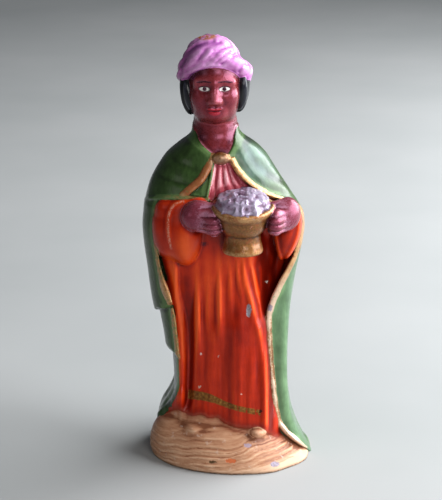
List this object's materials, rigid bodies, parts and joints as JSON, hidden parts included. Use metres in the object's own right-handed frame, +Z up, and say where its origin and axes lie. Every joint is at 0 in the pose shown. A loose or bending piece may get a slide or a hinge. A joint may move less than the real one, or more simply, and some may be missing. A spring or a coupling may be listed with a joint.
{
  "type": "nativity wise man figurine",
  "caption": "Small hand-painted moulded clay figure of a standing wise man in turban, cloak and long robe, offering a footed bowl, on its own rough mound.",
  "frame": {"origin": "centre of the bounding box at the flat sole of the mound", "axes": "+Z up along the figure's height, -Y the way the figure faces, +X to the right of someone who faces it"},
  "size_m": [0.0526, 0.0486, 0.1326],
  "materials": {
    "painted_clay": "hand-painted moulded terracotta over a pale ground coat, under gloss varnish; orange-red robe, green cloak, copper-gold trim, dark red-brown skin, pink turban, tan mound"
  },
  "bodies": {
    "root": {"wise_man_figurine": "painted_clay"}
  },
  "joints": []
}
